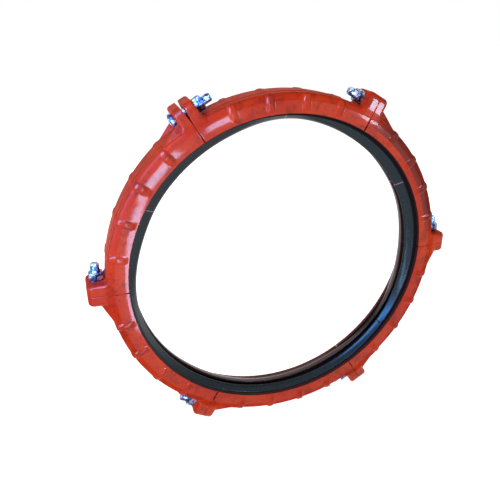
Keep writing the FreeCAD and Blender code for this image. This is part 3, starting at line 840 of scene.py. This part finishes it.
# %% [markdown]
# ## Rubber and zinc
#
# Moulded rubber is almost black, yet it mirrors the room in a soft sheen; the sheen's blue is a
# painted reflection of sky. The far lip is brown, and thin pale seams cross the ring at three places.
# Next to the keys the rubber turns down into its channel, and a plain dull diffuse shader takes over
# there as painted shade, so no sheen shows; on one side of the ring it reaches further in.
#
# Zinc plate is a metal: nearly all that it shows is the room around it. Its pale blue is broken by
# dull and dark patches.

# %% Rubber
SHADE_TURN = math.radians(40.0)
# Places in millimetres: the far lip's brown, and the dull heel behind the lip, painted shade that shifts
# round the ring.
FAR_LIP = (5.5, 7.5)
HEEL_RADIUS, HEEL_SHIFT, HEEL_BLUR = 298.5, 3.5, 0.6
# Places in degrees round the ring.
SEAMS = (30.0, 90.0, 150.0)
NOTCH = -38.5


def rubber_material():
    """Black moulded rubber with a brown far lip, pale seams, gloss tinted blue as painted reflection, and a
    dull heel of painted shade.
    """
    g = Graph(bpy.data.materials.new("gasket_rubber_black"))
    place = g.add("ShaderNodeTexCoord", None, output=3)
    x, y, z = axes(g, place)
    radius = (x * x + z * z).math("SQRT")
    dust = noise(g, place, 40.0, 4.0, 0.6)
    color = mix_color(g, dust.step(0.4, 0.8) * 0.3, rgb(8, 11, 15), rgb(30, 35, 42))
    far = y.step_mm(*FAR_LIP) * 0.9
    color = mix_color(g, far, color, rgb(74, 44, 40))
    angle = z.math("ARCTAN2", x)
    for middle in SEAMS:
        away = (angle - math.radians(middle)).math("ABSOLUTE")
        color = mix_color(g, 1.0 - away.step(0.0026, 0.005), color, rgb(150, 112, 130))
    rough = 0.2 + 0.16 * dust
    bump = g.add("ShaderNodeBump", None, Height=noise(g, place, 300.0, 2.0), Strength=0.06, Distance=0.0006)
    # The gloss is tinted blue, a painted reflection of a blue sky.
    gloss = g.add(
        "ShaderNodeBsdfPrincipled", None, Base_Color=color, Roughness=rough, Normal=bump,
        Specular_IOR_Level=0.35, Specular_Tint=(0.6, 0.85, 1.0, 1.0),
    )
    dull = g.add("ShaderNodeBsdfDiffuse", None, Color=rgb(30, 28, 33))
    # Painted shade: at the heel a dull, near-black diffuse shader replaces the gloss, and it reaches 3.5 mm
    # further in on the side turned to 40 degrees.
    toward = (x * math.cos(SHADE_TURN) + z * math.sin(SHADE_TURN)) / radius
    heel = (radius - HEEL_RADIUS * MM + HEEL_SHIFT * MM * toward).step_mm(-HEEL_BLUR, HEEL_BLUR)
    notch = 1.0 - (angle - math.radians(NOTCH)).math("ABSOLUTE").step(0.004, 0.008)
    shader = g.add("ShaderNodeMixShader", None, i0=heel.math("MAXIMUM", notch * 0.75), i1=gloss, i2=dull)
    return finish_graph(g, shader)


# %% Zinc
def zinc_material():
    """Bright zinc plate, a little blue, with dull patches."""
    g = Graph(bpy.data.materials.new("zinc_bright"))
    place = g.add("ShaderNodeTexCoord", None, output=3)
    patch = noise(g, place, 160.0, 4.0, 0.6)
    color = mix_color(g, patch.step(0.42, 0.58), rgb(206, 220, 240), rgb(74, 98, 150))
    dark = noise(g, place, 95.0, 2.0).step(0.46, 0.58)
    color = mix_color(g, dark * 0.88, color, rgb(20, 30, 70))
    rough = 0.2 + 0.25 * patch
    bump = g.add("ShaderNodeBump", None, Height=patch, Strength=0.2, Distance=0.0006)
    shader = g.add(
        "ShaderNodeBsdfPrincipled", None, Base_Color=color, Roughness=rough, Metallic=0.95, Normal=bump,
    )
    return finish_graph(g, shader)


# %% Each piece gets its finish
enamel, rubber, zinc = enamel_material(), rubber_material(), zinc_material()
for piece in castings:
    piece.data.materials.append(enamel)
gasket.data.materials.append(rubber)
for piece in fasteners:
    piece.data.materials.append(zinc)
for name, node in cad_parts.items():
    node.data.materials.clear()
    node.data.materials.append(enamel if "housing" in name else rubber if name == "gasket" else zinc)
print("nodes: enamel", len(enamel.node_tree.nodes), "rubber", len(rubber.node_tree.nodes))

# %% [markdown]
# ## Floor and world
#
# The photograph is cut out on white, so the stage is as plain as it can be: a pale floor that keeps
# the shadow, and a white world behind it. Both look white where the camera or a gloss sees them, and
# give much less light than that, so that the object's own shading stays deep.

# %% Floor and world
GLOSS_RAYS = ("Is Glossy Ray", "Is Transmission Ray")
FLOOR_Z = cad_low.z
FLOOR_HALF = 8.0
FLOOR_GLOW, FALLING_LIGHT, SEEN_WHITE = 0.9, 0.2, 1.0


def seen_rays(graph):
    """1 for what the camera sees straight, in a gloss or through glass, and 0 for light that falls."""
    rays = graph.add("ShaderNodeLightPath")
    glossy, through = (Value(graph, rays.node.outputs[name], rays.node) for name in GLOSS_RAYS)
    return (rays + glossy + through).math("MINIMUM", 1.0)


floor_mesh = bpy.data.meshes.new("floor")
floor_corners = np.array([(-1, -1), (1, -1), (1, 1), (-1, 1)]) * FLOOR_HALF
floor_points = np.column_stack([floor_corners, np.full(4, FLOOR_Z)])
floor_mesh.from_pydata(floor_points.tolist(), [], [(0, 1, 2, 3)])
floor = bpy.data.objects.new("floor", floor_mesh)
bpy.context.scene.collection.objects.link(floor)
floor_graph = Graph(bpy.data.materials.new("floor_pale"))
diffuse = floor_graph.add("ShaderNodeBsdfDiffuse", None, Color=(0.8, 0.8, 0.8, 1))
glow = floor_graph.add("ShaderNodeEmission", None, Color=(1, 1, 1, 1), Strength=FLOOR_GLOW)
both = floor_graph.add("ShaderNodeAddShader", None, i0=diffuse, i1=glow)
floor_shader = floor_graph.add("ShaderNodeMixShader", None, i0=seen_rays(floor_graph), i1=diffuse, i2=both)
floor_mesh.materials.append(finish_graph(floor_graph, floor_shader))

sky = Graph(bpy.data.worlds.new("pale_room"))
falls = sky.add("ShaderNodeBackground", None, Color=(0.86, 0.92, 1.0, 1.0), Strength=FALLING_LIGHT)
shows = sky.add("ShaderNodeBackground", None, Color=(1, 1, 1, 1), Strength=SEEN_WHITE)
sky_shader = sky.add("ShaderNodeMixShader", None, i0=seen_rays(sky), i1=falls, i2=shows)
bpy.context.scene.world = finish_graph(sky, sky_shader, "ShaderNodeOutputWorld")
print("floor at z", round(1000 * FLOOR_Z, 1), "mm")

# %% [markdown]
# ## Light
#
# A large warm card at the front left is the main light, and a weak one above fills in. Two more
# fill the lower castings and the back, and are kept out of all gloss so that they leave no glare.
#
# The glare in the photograph lies on certain castings only. Here it comes from cards that show in
# gloss and light nothing matt. The rule of a mirror tells where such a card belongs: a line from the
# camera leaves a face at the angle at which it met it, and the card stands where that line goes.

# %% Lights
def card(name, place, target, width, height, radiance, color=(1, 1, 1), along=(1, 0, 0)):
    """A flat lamp that faces a target, its width along a direction. Power = radiance * pi * area."""
    lamp = bpy.data.lights.new(name, "AREA")
    lamp.shape = "RECTANGLE"
    lamp.size, lamp.size_y = width * MM, height * MM
    lamp.energy = radiance * math.pi * width * height * MM * MM
    lamp.color = color
    back = (Vector(place) - Vector(target)).normalized()
    across = (Vector(along) - Vector(along).dot(back) * back).normalized()
    turn = Matrix((across, back.cross(across), back)).transposed().to_4x4()
    light = bpy.data.objects.new(name, lamp)
    light.matrix_world = Matrix.Translation(Vector(place) * MM) @ turn
    light.visible_camera = False
    bpy.context.scene.collection.objects.link(light)
    return light


# Place and target in millimetres, then width, height and radiance.
WARM, SKY, BLUE, LILAC = (1.0, 0.96, 0.88), (0.93, 0.97, 1.0), (0.12, 0.4, 1.0), (0.4, 0.6, 0.92)
card("key_card", (-1700, -1500, 900), (0, 0, 0), 900, 900, 11.8, WARM)
card("sky_card", (300, -900, 2200), (0, 0, 0), 1600, 1600, 0.6, SKY)
card("low_card", (700, -1500, -60), (0, 0, -100), 800, 500, 3.6, WARM).visible_glossy = False
card("rear_card", (500, 1900, 900), (0, 0, 0), 1000, 1000, 7.0, WARM).visible_glossy = False

# %% Cards that show only in the gloss
gloss_cards = [
    card("blue_card", (-425, -205, 280), (220, -20, -200), 540, 300, 27.0, BLUE, (220, -48, 350)),
    card("top_strip", (-28, -450, 226), (-28, 0, 226), 80, 50, 36.0, LILAC, (78, 0, 34)),
    card("upper_strip", (-196, -450, 97), (-196, 0, 97), 160, 72, 36.0, LILAC, (106, 0, 117)),
    card("lower_strip", (-231, -450, -155), (-231, 0, -155), 345, 66, 34.0, LILAC, (0, 0, 1)),
    card("ear_card", (460, -450, 284), (172, -33, 299), 120, 150, 40.0, (0.5, 0.76, 1.0)),
]
for strip in gloss_cards:
    strip.visible_diffuse = False
print("lamps", len(bpy.data.lights), "of which only in gloss", len(gloss_cards))

# %% [markdown]
# ## Camera
#
# The camera stands where the photographer stood. Its place, direction, lens and shift were found by
# laying the six joints, the ribs and the ring's outline over the photograph.

# %% Camera
CAMERA_PLACE = (-350.86, -948.88, 491.24)
HEADING, TILT, ROLL = math.radians(22.088), math.radians(-24.261), math.radians(1.128)
SENSOR_WIDTH, LENS = 36.0, 39.942
SHIFT_X, SHIFT_Y = -0.09461, -0.00987
camera_data = bpy.data.cameras.new("camera")
camera_data.sensor_width = SENSOR_WIDTH
camera_data.lens = LENS
camera_data.shift_x, camera_data.shift_y = SHIFT_X, SHIFT_Y
camera = bpy.data.objects.new("camera", camera_data)
turn_round = Matrix.Rotation(-HEADING, 4, "Z")
turn_up = Matrix.Rotation(math.pi / 2 + TILT, 4, "X")
turn_level = Matrix.Rotation(ROLL, 4, "Z")
look = turn_round @ turn_up @ turn_level
camera.matrix_world = Matrix.Translation(Vector(CAMERA_PLACE) * MM) @ look
bpy.context.scene.collection.objects.link(camera)
bpy.context.scene.camera = camera
bpy.context.scene.view_settings.view_transform = "Standard"
print("camera", round(Vector(CAMERA_PLACE).length), "mm from the ring's middle")
